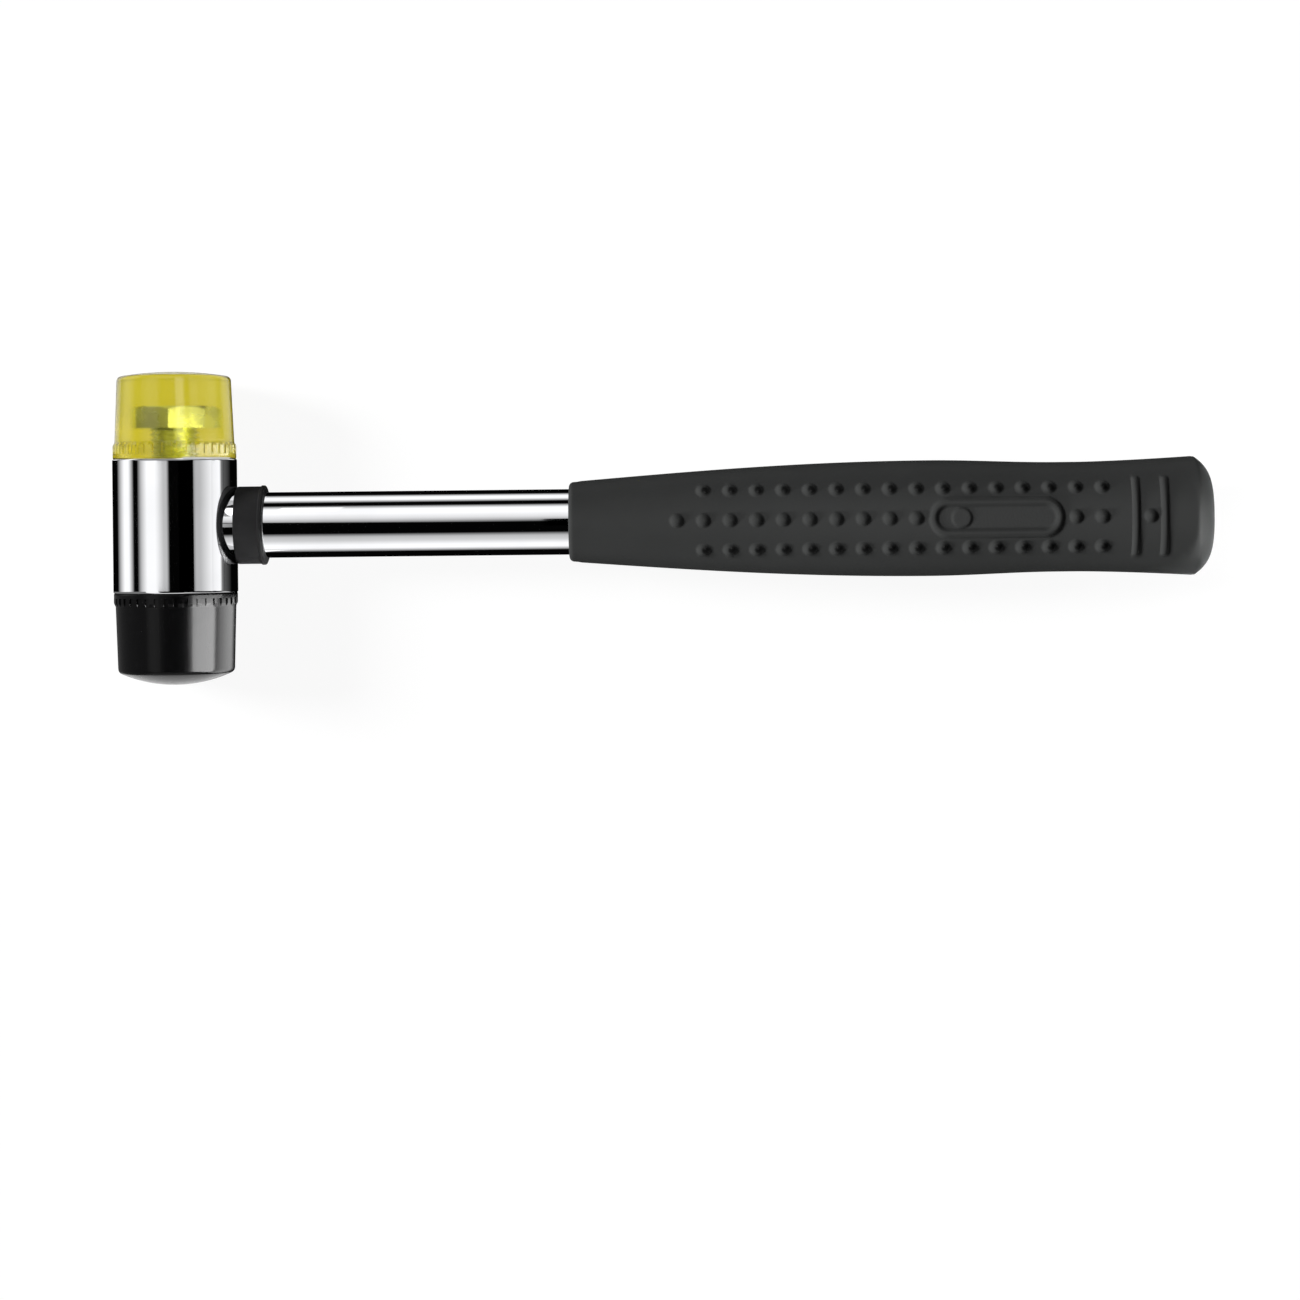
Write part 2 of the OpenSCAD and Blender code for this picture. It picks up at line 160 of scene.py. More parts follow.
class HammerGripSettings(PropertyGroup):
    """Rubber collar and moulded grip."""

    front: length_property("Front radius", "Radius of the round front of the grip", 9.7 * MM)
    lip: length_property("Front lip", "Rounding of the grip's front lip", 1.2 * MM)
    swell: length_property("Swell", "Half width of the grip at its swell", 14.0 * MM)
    swell_place: length_property("Swell place", "Distance of the swell from the butt's end", 68.5 * MM)
    waist: length_property("Waist", "Half width of the grip at its waist", 13.25 * MM)
    waist_place: length_property("Waist place", "Distance of the waist from the butt's end", 37.0 * MM)
    butt: length_property("Butt", "Half width of the grip at its butt", 14.4 * MM)
    bevel: length_property("Butt bevel", "Length of the bevelled end", 4.2 * MM)
    dot: length_property("Dot radius", "Radius of a raised dot at its foot", 1.7 * MM)
    dot_height: length_property("Dot height", "Height of a raised dot", 1.0 * MM)
    dot_pitch: length_property("Dot pitch", "Distance between two dots along the grip", 6.38 * MM)
    dot_row: length_property("Dot rows", "Distance between two rows of dots", 7.2 * MM)
    dot_first: length_property("First dot", "Distance of the first dot from the grip's front", 26.1 * MM)
    panel_length: length_property("Panel length", "Length of the oval panel", 32.4 * MM)
    panel_width: length_property("Panel width", "Width of the oval panel", 9.5 * MM)
    panel_place: length_property("Panel place", "Distance of the panel's middle from the butt's end",
                                 53.2 * MM)
    panel_floor: length_property("Panel floor", "Height of the panel's floor over the grip", 0.1 * MM)
    rim: length_property("Bead width", "Width of the raised bead round the panel", 2.1 * MM)
    rim_height: length_property("Bead height", "Height of the bead over the panel's floor", 0.6 * MM)
    boss: length_property("Boss radius", "Radius of the plain round boss on the panel", 2.4 * MM)
    boss_height: length_property("Boss height", "Height of the boss over the panel's floor", 0.4 * MM)
    boss_offset: length_property("Boss offset", "Distance of the boss from the panel's middle", 8.4 * MM)
    rib_place: length_property("Rib place", "Distance of the first rib from the butt's end", 19.8 * MM)
    rib_pitch: length_property("Rib pitch", "Distance between the two cross ribs", 6.9 * MM)
    rib_length: length_property("Rib length", "Half length of a cross rib", 9.8 * MM)
    rib_width: length_property("Rib width", "Half width of a cross rib", 1.0 * MM)
    rib_height: length_property("Rib height", "Height of a cross rib", 0.7 * MM)
    parting: length_property("Parting line", "Height of the mould's parting line", 0.1 * MM)
    charcoal: colour_property("Grip rubber", "Colour of the grip", (0.0275, 0.0283, 0.028))
    soot: colour_property("Collar rubber", "Colour of the collar", (0.019, 0.019, 0.0195))


class HammerStageSettings(PropertyGroup):
    """Camera, floor and light."""

    distance: length_property("Camera distance", "Height of the camera over the handle's axis", 0.700)
    frame_width: length_property("Frame width", "Width of the picture at the handle's axis", 0.3168)
    roll: FloatProperty(name="Roll", description="Turn of the hammer in the picture",
                        default=math.radians(0.6), subtype="ANGLE", unit="ROTATION")
    place: FloatVectorProperty(
        name="Place", description="Middle of the hammer from the picture's centre, as shares of its width",
        default=(0.0090, 0.0974), size=2)
    daylight: FloatProperty(name="Soft light", description="Level of the even light", default=0.1, min=0.0)
    key: FloatProperty(name="Key light", description="Strength of the soft key light", default=4.3, min=0.0)
    dot_light: FloatProperty(name="Dot light", description="Strength of the low light along the grip",
                             default=4.3, min=0.0)
    butt_light: FloatProperty(name="Butt light", description="Strength of the lamp behind the butt",
                              default=0.03, min=0.0)


# Shapes

def closed_skin(rows, looped=False):
    """Vertices and faces of a closed skin over a stack of rings.

    Each row of points is a ring round the piece, and four neighbours on two rings make a face. A looped
    stack joins its last ring to its first. Otherwise the first and the last ring are one point each, and
    a fan of triangles closes the skin there. The faces are turned round if their volume is negative.
    """
    rings, round_count, _ = rows.shape
    if looped:
        points = rows.reshape(-1, 3)
        ring = np.arange(len(points)).reshape(rings, round_count)
        below, above = ring, np.roll(ring, -1, axis=0)
        fans = np.empty((0, 3), dtype=int)
    else:
        points = np.vstack([rows[0, :1], rows[1:-1].reshape(-1, 3), rows[-1, :1]])
        ring = 1 + np.arange((rings - 2) * round_count).reshape(rings - 2, round_count)
        below, above = ring[:-1], ring[1:]
        first, last = np.zeros(round_count, dtype=int), np.full(round_count, len(points) - 1)
        fans = np.vstack([
            np.column_stack([np.roll(ring[0], -1), ring[0], first]),
            np.column_stack([ring[-1], np.roll(ring[-1], -1), last]),
        ])
    quads = np.stack([below, np.roll(below, -1, axis=1), np.roll(above, -1, axis=1), above], axis=-1)
    quads = quads.reshape(-1, 4)
    triangles = np.vstack([quads[:, [0, 1, 2]], quads[:, [0, 2, 3]], fans])
    a, b, c = (points[triangles[:, i]] for i in range(3))
    if np.einsum("ij,ij->i", a, np.cross(b, c)).sum() < 0:
        quads, fans = quads[:, ::-1], fans[:, ::-1]
    return points, quads, fans


def rounded_profile(corners, radii, steps=5):
    """Profile whose corners are arcs that touch both of their legs, and a radius of 0 keeps a corner."""
    corners = np.array(corners, dtype=float)
    out = []
    for i, radius in enumerate(radii):
        here = corners[i]
        if radius == 0:
            out.append(here[None, :])
            continue
        back = corners[i - 1] - here
        ahead = corners[(i + 1) % len(corners)] - here
        back, ahead = back / np.linalg.norm(back), ahead / np.linalg.norm(ahead)
        half = math.acos(np.clip(back @ ahead, -1, 1)) / 2
        middle = (back + ahead) / np.linalg.norm(back + ahead)
        centre = here + middle * radius / math.sin(half)
        start = here + back * radius / math.tan(half) - centre
        end = here + ahead * radius / math.tan(half) - centre
        first = math.atan2(start[1], start[0])
        turn = (math.atan2(end[1], end[0]) - first + math.pi) % (2 * math.pi) - math.pi
        angle = first + turn * np.linspace(0, 1, steps + 1)
        out.append(centre + radius * np.column_stack([np.cos(angle), np.sin(angle)]))
    return np.vstack(out)


def spaced_profile(profile, step, near, looped=False):
    """Profile with more points on its long legs: one near each end of a leg, the others a step apart."""
    ends = np.roll(profile, -1, axis=0) if looped else np.vstack([profile[1:], profile[-1:]])
    out = []
    for start, end in zip(profile, ends):
        length = np.linalg.norm(end - start)
        out.append(start[None, :])
        if length > 4 * near:
            count = max(1, math.ceil((length - 2 * near) / step))
            share = (near + (length - 2 * near) * np.arange(count + 1) / count) / length
            out.append(start + share[:, None] * (end - start))
    return np.vstack(out)


def turned_rows(radius, along, angle):
    """Rings of a turned piece: a radius for each place along the axis, carried round it by the angle."""
    radius, along = np.broadcast_arrays(radius, along)
    return np.stack([radius * np.cos(angle), radius * np.sin(angle), along + 0 * angle], axis=-1)


def on_head(rows, start, side):
    """Places turned rows on the head's axis, growing from start towards the given side."""
    return np.stack([HEAD_AXIS[0] + rows[..., 0], start + side * rows[..., 2], HEAD_AXIS[2] + rows[..., 1]],
                    axis=-1)


def on_handle(rows):
    """Places turned rows on the handle's axis."""
    return np.stack([rows[..., 2], TUBE_AXIS[1] + rows[..., 0], TUBE_AXIS[2] + rows[..., 1]], axis=-1)


def full_turn(count):
    """Angles of one turn, without the last, which is the first again."""
    return 2 * math.pi * np.arange(count) / count


def smooth_step(low, high, value):
    """Smooth rise from 0 at low to 1 at high."""
    share = np.clip((value - low) / (high - low), 0, 1)
    return share * share * (3 - 2 * share)


def ease(share):
    """Half a cosine wave from 0 to 1."""
    return (1 - np.cos(math.pi * share)) / 2


def cap_height(distance, half, height):
    """Height of a round cap over its foot: that of a circle, which falls away past the cap's edge."""
    radius = (half * half + height * height) / (2 * height)
    return np.sqrt(np.clip(radius * radius - distance * distance, 0, None)) - (radius - height)


def soft_max(first, second, soft):
    """The larger of two heights, with a rounded change from one to the other."""
    return (first + second + np.sqrt((first - second) ** 2 + soft * soft)) / 2


def thread_wave(turns):
    """Height of a screw thread, 0 in the groove and 1 on the crest: a triangle wave with flats."""
    wave = np.abs(2 * (turns % 1) - 1)
    return np.clip((wave - THREAD_FLAT) / (1 - 2 * THREAD_FLAT), 0, 1)


def add_piece(name, skin, material, body, nodes, sharp=35):
    """Makes a mesh object of a skin, with its finish, that rides on its body in place of the solid."""
    points, quads, fans = skin
    mesh = bpy.data.meshes.new(name)
    mesh.from_pydata(points.tolist(), [], quads.tolist() + fans.tolist())
    mesh.validate()
    mesh.shade_smooth()
    mesh.set_sharp_from_angle(angle=math.radians(sharp))
    piece = bpy.data.objects.new(name, mesh)
    bpy.context.scene.collection.objects.link(piece)
    mesh.materials.append(material)
    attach(piece, body)
    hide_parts(*nodes)


def head_rows(settings):
    """Rings of the head, in order round its profile: outer wall, far end, threaded hole, near end."""
    half = (HEAD_HIGH[1] - HEAD_LOW[1]) / 2
    mouth = settings.hole + settings.thread
    outer = rounded_profile([(mouth, -half), (HEAD_RADIUS, -half), (HEAD_RADIUS, half), (mouth, half)],
                            [0, settings.edge, settings.edge, 0])
    outer = spaced_profile(outer, step=1.5 * MM, near=0.25 * MM)
    plain = 0.6 * MM
    deep = np.arange(half - plain, plain - half, -settings.pitch / 8)
    angle = full_turn(HEAD_TURN)
    groove = settings.thread * thread_wave(deep[:, None] / settings.pitch - angle / (2 * math.pi))
    wall = turned_rows(settings.hole + groove, deep[:, None], angle)
    return np.concatenate([turned_rows(outer[:, :1], outer[:, 1:], angle), wall], axis=0)


def bolt_rows(settings, reach):
    """Rings of a hexagon bolt from its tip to the top of its head.

    The shank's radius follows the thread's wave, which turns once for each pitch, and is cut by a cone at
    the tip. The head's radius is that of a hexagon: half its width across flats over the cosine of the
    angle from the middle of the nearest flat, cut by a 30 degree cone at the top. A corner points up.
    """
    length = PLASTIC_BOLT_HIGH[1] - PLASTIC_BOLT_LOW[1]
    underside = length - reach - settings.bolt_head
    top = length - reach
    angle = full_turn(BOLT_TURN)
    along = np.linspace(-reach, underside, SHANK_RINGS)[:, None]
    wave = thread_wave(along / settings.pitch - angle / (2 * math.pi))
    shank = settings.bolt - settings.thread * (1 - wave)
    shank = np.minimum(shank, settings.bolt - settings.tip + (along + reach))
    shank = turned_rows(shank, along, angle)
    hexagon = settings.flats / 2 / np.cos((angle + math.pi / 6) % (math.pi / 3) - math.pi / 6)
    shares = np.array([0, 0.15, 0.5, 0.7, 0.8, 0.85, 0.9, 0.95, 1])[:, None]
    levels = shares * settings.bolt_head + underside
    cone = settings.flats / 2 * CHAMFER_SHARE + (top - levels) / math.tan(math.radians(30))
    head = np.minimum(hexagon + 0 * levels, cone)
    head = turned_rows(head, levels, angle)
    tip = turned_rows(np.zeros((1, 1)), np.array([[-reach]]), angle)
    crown = turned_rows(np.zeros((1, 1)), np.array([[top]]), angle)
    return np.concatenate([tip, shank, head, crown], axis=0)


def face_rows(settings, flange_radius, length, flange, base, tip, edge, crown):
    """Rings of a moulded face from the middle of its seat to the top of its crown.

    The profile has a flange, a slope down to a tapered side, a rounded edge and a crown, which is an arc
    that the edge's arc touches. Round the flange the radius is cut back at each finger notch.
    """
    half = tip - edge
    arc = (half * half + crown * crown) / (2 * crown)
    lean = math.asin(half / (arc - edge))
    middle = length - arc
    edge_turn = np.linspace(0, math.pi / 2 - lean, 9)
    edge_arc = np.column_stack([half + edge * np.cos(edge_turn),
                                middle + (arc - edge) * math.cos(lean) + edge * np.sin(edge_turn)])
    crown_turn = lean * (1 - np.linspace(0, 1, 15)[1:])
    crown_arc = np.column_stack([arc * np.sin(crown_turn), middle + arc * np.cos(crown_turn)])
    small = 0.3 * MM
    foot = rounded_profile(
        [(0, 0), (flange_radius, 0), (flange_radius, flange - settings.slope), (base, flange), edge_arc[0]],
        [0, small, small, small, 0], steps=4)
    foot = spaced_profile(foot, step=1.2 * MM, near=0.12 * MM)
    rim = settings.notch_rim
    extra = np.array([[flange_radius, rim - 0.03 * MM], [flange_radius, rim + 0.03 * MM]])
    flat = (foot[:, 0] > flange_radius - 1e-7) & (foot[:, 1] > small)
    start = np.argmax(flat & (foot[:, 1] > rim))
    foot = np.vstack([foot[:start], extra, foot[start:]])
    foot = foot[np.argsort(foot[:, 1], kind="stable")]
    profile = np.vstack([foot[:-1], edge_arc, crown_arc])
    spacing = 2 * math.pi / settings.notches
    half_notch = settings.notch_width / flange_radius / 2
    soft = 0.05 * MM / flange_radius
    offsets = np.array([-half_notch - soft, -half_notch + soft, 0, half_notch - soft, half_notch + soft,
                        spacing / 2])
    angle = (spacing * np.arange(settings.notches)[:, None] + offsets).ravel()
    in_notch = np.tile([0, 1, 1, 1, 0, 0], settings.notches)
    radius, along = profile[:, :1], profile[:, 1:]
    cut = (along > rim) & (along < flange + 0.2 * MM) & (in_notch[None, :] > 0)
    radius = np.where(cut, np.minimum(radius, flange_radius - settings.notch_depth), radius)
    return turned_rows(radius, along, angle)


def tube_rows():
    """Rings of the tube round its wall: a loop of the outside, the end, the bore and the other end."""
    bore, near, far = TUBE_RADIUS - TUBE_WALL, TUBE_LOW[0], TUBE_HIGH[0]
    corners = [(TUBE_RADIUS, near), (TUBE_RADIUS, far), (bore, far), (bore, near)]
    profile = rounded_profile(corners, [0.2 * MM] * 4, steps=3)
    profile = spaced_profile(profile, step=6 * MM, near=0.3 * MM, looped=True)
    return turned_rows(profile[:, :1], profile[:, 1:], full_turn(TUBE_TURN))


def collar_rows():
    """Rings of the rubber collar: a loop with rounded edges, and a low lip at its handle end."""
    radius = (COLLAR_HIGH[2] - COLLAR_LOW[2]) / 2
    body = radius - COLLAR_STEP
    near, far = COLLAR_LOW[0], COLLAR_HIGH[0]
    lip = far - COLLAR_LIP
    corners = [(TUBE_RADIUS, near), (body, near), (body, lip - COLLAR_STEP), (radius, lip), (radius, far),
               (TUBE_RADIUS, far)]
    profile = rounded_profile(corners, [0.1 * MM, 0.4 * MM, 0.15 * MM, 0.12 * MM, 0.4 * MM, 0.1 * MM])
    profile = spaced_profile(profile, step=0.8 * MM, near=0.1 * MM, looped=True)
    return turned_rows(profile[:, :1], profile[:, 1:], full_turn(COLLAR_TURN))


class GripForm:
    """Formula of the grip's surface, in distances from its front and over its axis."""

    # Shares and powers of the flare, the thickness, the bevelled end and the squarer section.
    FLARE_START = 0.13
    FLARE_POWER = 1.5
    THICKNESS_SHARE = 0.62
    BEVEL_CUT = 0.96
    BEVEL_POWER = 0.205
    SQUARENESS = 0.4
    # Half width of the finely divided strip, and the angle between two points on the parting line's ridge.
    FINE_HALF = 9.8 * MM
    SEAM_TURN = 0.012
    SEAM_HALF = 0.34 * MM
    # Rings along the lip, the plain front, the dots and ribs, the butt and its bevel.
    LIP_RINGS = 8
    FRONT_RINGS = 26
    FINE_RINGS = 408
    BUTT_RINGS = 14
    BEVEL_RINGS = 17
    # Points across the fine strip and round a flank.
    STRIP_POINTS = 69
    FLANK_POINTS = 28

    def __init__(self, settings):
        self.s = settings
        self.swell_at = GRIP_LENGTH - settings.swell_place
        self.waist_at = GRIP_LENGTH - settings.waist_place
        self.panel_at = GRIP_LENGTH - settings.panel_place
        self.rib_at = GRIP_LENGTH - settings.rib_place
        self.butt_at = GRIP_LENGTH - settings.bevel
        self.flare_at = self.waist_at + self.FLARE_START * (self.butt_at - self.waist_at)

    def half_width(self, g):
        """Half width: a round lip, a quarter sine to the swell, half a cosine to the waist and a flare."""
        s = self.s
        lip = s.front - s.lip + np.sqrt(np.clip(g * (2 * s.lip - g), 0, None))
        rise = s.front + (s.swell - s.front) * np.sin(math.pi / 2 * (g - s.lip) / (self.swell_at - s.lip))
        fall = s.swell + (s.waist - s.swell) * ease((g - self.swell_at) / (self.waist_at - self.swell_at))
        share = np.clip((g - self.flare_at) / (self.butt_at - self.flare_at), 0, 1)
        flare = s.waist + (s.butt - s.waist) * share ** self.FLARE_POWER
        return np.select([g < s.lip, g < self.swell_at, g < self.waist_at], [lip, rise, fall], flare)

    def half_thickness(self, g):
        """Half thickness: as the width at the round front, then it gains less than the width does."""
        width = self.half_width(g)
        front = self.s.front
        return np.where(width < front, width, front + self.THICKNESS_SHARE * (width - front))

    def bevel_left(self, g):
        """Share of the section that the bevelled end leaves: a low power of what is left of its length."""
        cut = self.BEVEL_CUT * (g - self.butt_at) / self.s.bevel
        return np.clip(1 - cut, 1 - self.BEVEL_CUT, 1) ** self.BEVEL_POWER

    def roundness(self, g):
        """Power of the section's curve: 2, an ellipse, at the front, and squarer towards the swell."""
        return 2 + self.SQUARENESS * ease(np.minimum(1, g / self.swell_at))

    def height(self, g, y):
        """Height of the plain surface over the axis."""
        n = self.roundness(g)
        inside = np.clip(1 - (np.abs(y) / self.half_width(g)) ** n, 0, 1)
        return self.half_thickness(g) * inside ** (1 / n)

    def point(self, g, angle):
        """Point of the plain surface: cosine and sine of the angle, raised to the section's power."""
        power = 2 / self.roundness(g)
        left = self.bevel_left(g)
        cosine, sine = np.cos(angle), np.sin(angle)
        y = self.half_width(g) * left * np.sign(cosine) * np.abs(cosine) ** power
        z = self.half_thickness(g) * left * np.sign(sine) * np.abs(sine) ** power
        return np.stack(np.broadcast_arrays(g, y, z), axis=-1)

    def dots(self, panel_side):
        """Places of the dots on one side: three rows, without those that would meet the panel."""
        s = self.s
        count = int((self.rib_at - s.rib_width - s.dot - s.dot_first) / s.dot_pitch) + 1
        g = s.dot_first + s.dot_pitch * np.arange(count)
        free = np.abs(g - self.panel_at) > s.panel_length / 2 + s.dot / 2
        middle = g[free] if panel_side else g
        return np.vstack([
            np.column_stack([middle, np.zeros(len(middle))]),
            np.column_stack([g[1:], np.full(count - 1, s.dot_row)]),
            np.column_stack([g[1:], np.full(count - 1, -s.dot_row)]),
            [[self.rib_at + s.rib_pitch / 2, 0.0]],
        ])

    def dot_rise(self, points, panel_side):
        """Height of the dots over the plain surface: the cap of a ball at each place, with a soft foot."""
        s = self.s
        places = self.dots(panel_side)
        side = 1 if panel_side else -1
        centres = np.column_stack([places, side * self.height(places[:, 0], places[:, 1])])
        flat = points.reshape(-1, 3)
        nearest = np.full(len(flat), np.inf)
        for centre in centres:
            near = np.flatnonzero(np.abs(flat[:, 0] - centre[0]) < 2 * s.dot)
            gap = np.linalg.norm(flat[near] - centre, axis=1)
            nearest[near] = np.minimum(nearest[near], gap)
        cap = soft_max(cap_height(np.minimum(nearest, 2 * s.dot), s.dot, s.dot_height), 0, 0.05 * MM)
        cap = cap * smooth_step(1.35 * s.dot, 1.15 * s.dot, nearest)
        return cap.reshape(points.shape[:2])

    def rib_rise(self, points):
        """Height of the two cross ribs: the cap of a round bar that fades at both of its ends."""
        s = self.s
        first = np.abs(points[..., 0] - self.rib_at)
        second = np.abs(points[..., 0] - self.rib_at - s.rib_pitch)
        rise = np.clip(cap_height(np.minimum(first, second), s.rib_width, s.rib_height), 0, None)
        return rise * smooth_step(s.rib_length, s.rib_length - 0.9 * MM, np.abs(points[..., 1]))

    def panel_height(self, points):
        """Height over the axis near the oval panel, from the height of the surface round it.

        The distance to the oval's edge gives a bead, the cap of a round bar. Inside the bead's middle the
        higher of the bead and of a flat floor that leans with the grip counts, and the round boss stands on
        that floor. Outside it the higher of the bead and of the surface round the panel counts.
        """
        s = self.s
        g, y = points[..., 0] - self.panel_at, points[..., 1]
        straight = (s.panel_length - s.panel_width) / 2
        edge = np.hypot(np.maximum(np.abs(g) - straight, 0), y) - s.panel_width / 2 + s.rim / 2
        ends = self.height(self.panel_at + np.array([-0.5, 0.5]) * s.panel_length, np.zeros(2))
        lean = (ends[1] - ends[0]) / s.panel_length
        level = self.height(np.array(self.panel_at), np.array(0.0)) + s.panel_floor + g * lean
        bead = level + cap_height(edge, s.rim / 2, s.rim_height)
        boss = smooth_step(s.boss + 0.2 * MM, s.boss - 0.3 * MM, np.hypot(g + s.boss_offset, y))
        soft = 0.1 * MM
        inside = soft_max(bead, level, soft) + s.boss_height * boss
        outside = soft_max(bead, points[..., 2], soft)
        near = smooth_step(s.rim, 0.75 * s.rim, edge)
        return np.where(edge < 0, inside, points[..., 2] + near * (outside - points[..., 2]))

    def rows(self):
        """Rings of the grip from the end of its bore, out over the front lip and on to the butt's end."""
        s = self.s
        lip = s.lip * (1 - np.cos(math.pi / 2 * np.arange(self.LIP_RINGS) / self.LIP_RINGS))
        bevel = self.butt_at + s.bevel * (1 - (1 - np.linspace(0, 1, self.BEVEL_RINGS)) ** 2)
        fine_from, fine_to = s.dot_first - 2.5 * MM, self.rib_at + s.rib_pitch + 1.6 * MM
        g = np.concatenate([
            lip,
            np.linspace(s.lip, fine_from, self.FRONT_RINGS, endpoint=False),
            np.linspace(fine_from, fine_to, self.FINE_RINGS, endpoint=False),
            np.linspace(fine_to, self.butt_at, self.BUTT_RINGS, endpoint=False),
            bevel,
        ])[:, None]
        reach = self.FINE_HALF / s.swell
        share = np.linspace(reach, -reach, self.STRIP_POINTS)
        upper = np.arccos(np.sign(share) * np.abs(share) ** 1.2)
        turn = np.linspace(upper[-1], 2 * math.pi - upper[-1], self.FLANK_POINTS)[1:-1]
        seam = math.pi + self.SEAM_TURN * np.arange(-2, 3)
        flank = np.sort(np.concatenate([turn[np.abs(turn - math.pi) > 0.04], seam]))
        angle = np.concatenate([upper, flank, math.pi + upper, math.pi + flank])[None, :]
        plain = self.point(g, angle)
        along = np.gradient(plain, axis=0)
        around = (np.roll(plain, -1, axis=1) - np.roll(plain, 1, axis=1)) / 2
        normal = np.cross(around, along)
        normal /= np.linalg.norm(normal, axis=-1, keepdims=True)
        outward = np.sign((normal[..., 1:] * plain[..., 1:]).sum(axis=-1, keepdims=True))
        normal *= outward
        top, bottom = plain[..., 2] > 0, plain[..., 2] <= 0
        rise = self.rib_rise(plain) * (np.abs(plain[..., 2]) > 2 * MM)
        rise = rise + self.dot_rise(plain, True) * top + self.dot_rise(plain, False) * bottom
        seam_gap = np.abs(plain[..., 2]) / self.SEAM_HALF
        on_seam = (plain[..., 0] > 2 * s.lip) & (plain[..., 0] < self.butt_at)
        rise = rise + s.parting * np.clip(1 - seam_gap, 0, 1) * on_seam
        shaped = plain + normal * rise[..., None]
        shaped[..., 2] = np.where(top, self.panel_height(shaped), shaped[..., 2])
        bore = np.array([[TUBE_RADIUS, PLUG_HIGH[0] - GRIP_LOW[0]], [TUBE_RADIUS, 0.3 * MM],
                         [TUBE_RADIUS + 0.2 * MM, 0.0]])
        inside = np.stack([
            bore[:, 1:] + 0 * angle, bore[:, :1] * np.cos(angle), bore[:, :1] * np.sin(angle)], axis=-1)
        start = inside[:1] * [1, 0, 0]
        end = shaped[-1:] * [1, 0, 0]
        rows = np.concatenate([start, inside, shaped, end], axis=0)
        return rows + [GRIP_LOW[0], TUBE_AXIS[1], TUBE_AXIS[2]]


# Finishes

class Shade:
    """A shader socket in Python: arithmetic on it adds Math nodes, and node() adds any other node."""

    def __init__(self, tree, socket):
        self.tree = tree
        self.socket = socket

    def node(self, kind, settings=None, sockets=None, output=0):
        """Adds a node: first its settings, ramp stops among them, then its sockets' values or links."""
        made = self.tree.nodes.new(kind)
        for key, value in (settings or {}).items():
            if key == "stops":
                ramp = made.color_ramp.elements
                while len(ramp) < len(value):
                    ramp.new(1.0)
                for stop, (place, level) in zip(ramp, value):
                    stop.position = place
                    stop.color = (level, level, level, 1.0)
            else:
                setattr(made, key, value)
        for key, value in (sockets or {}).items():
            if isinstance(value, Shade):
                self.tree.links.new(value.socket, made.inputs[key])
            else:
                made.inputs[key].default_value = value
        return Shade(self.tree, made.outputs[output])

    def math(self, operation, *terms):
        """Adds one Math node."""
        return self.node("ShaderNodeMath", {"operation": operation}, dict(enumerate(terms)))

    def __add__(self, other):
        return self.math("ADD", self, other)

    def __radd__(self, other):
        return self.math("ADD", other, self)

    def __sub__(self, other):
        return self.math("SUBTRACT", self, other)

    def __rsub__(self, other):
        return self.math("SUBTRACT", other, self)

    def __mul__(self, other):
        return self.math("MULTIPLY", self, other)

    def __rmul__(self, other):
        return self.math("MULTIPLY", other, self)

    def __truediv__(self, other):
        return self.math("DIVIDE", self, other)

    def __rtruediv__(self, other):
        return self.math("DIVIDE", other, self)

    def __abs__(self):
        return self.math("ABSOLUTE", self)

    def above(self, low, high):
        """Smooth rise from 0 at low to 1 at high."""
        return self.node("ShaderNodeMapRange", {"interpolation_type": "SMOOTHSTEP"},
                         {"Value": self, "From Min": low, "From Max": high})

    def noise(self, scale, detail=3.0, stretch=(1.0, 1.0, 1.0)):
        """Cloudy noise on these coordinates, stretched along the axes."""
        place = self.node("ShaderNodeMapping", None, {"Vector": self, "Scale": stretch})
        return self.node("ShaderNodeTexNoise", None, {"Vector": place, "Scale": scale, "Detail": detail})

    def parts(self):
        """The three numbers of a vector."""
        split = self.node("ShaderNodeSeparateXYZ", None, {0: self}).socket.node
        return [Shade(self.tree, socket) for socket in split.outputs]

    def between(self, first, second):
        """Colour between two colours, by this value."""
        return self.node("ShaderNodeMix", {"data_type": "RGBA"}, {0: self, 6: first, 7: second}, output=2)


def opaque(colour, level=1.0):
    """Four numbers of a colour, made darker or lighter by a level."""
    return (*[min(1.0, channel * level) for channel in colour], 1.0)


class Finish:
    """A new material with its Principled shader and its Object coordinates."""

    def __init__(self, name):
        self.material = bpy.data.materials.new(name)
        self.material.use_nodes = True
        self.tree = self.material.node_tree
        self.shader = self.tree.nodes["Principled BSDF"]
        texture = self.tree.nodes.new("ShaderNodeTexCoord")
        self.place = Shade(self.tree, texture.outputs["Object"])

    def set(self, **sockets):
        """Sets or links sockets of the shader, named with underscores for spaces."""
        for key, value in sockets.items():
            socket = self.shader.inputs[key.replace("_", " ")]
            if isinstance(value, Shade):
                self.tree.links.new(value.socket, socket)
            else:
                socket.default_value = value

    def bump(self, height, distance, strength=1.0):
        """Links a bump of the given height, in metres at full height, to the shader."""
        self.set(Normal=self.place.node(
            "ShaderNodeBump", None, {"Strength": strength, "Distance": distance, "Height": height}))


def plated_finish(settings):
    """Bright plating: a mirror with faint smudges and very fine polishing lines."""
    finish = Finish("bright_plating")
    smudge = finish.place.noise(70.0, 5.0).above(0.35, 0.75)
    lines = finish.place.noise(2600.0, 2.0, (1.0, 0.06, 1.0))
    colour = smudge.between(opaque(settings.plating), opaque(settings.plating, 0.95))
    finish.set(Base_Color=colour, Metallic=1.0, Roughness=0.025 + 0.03 * smudge + 0.02 * lines)
    return finish.material


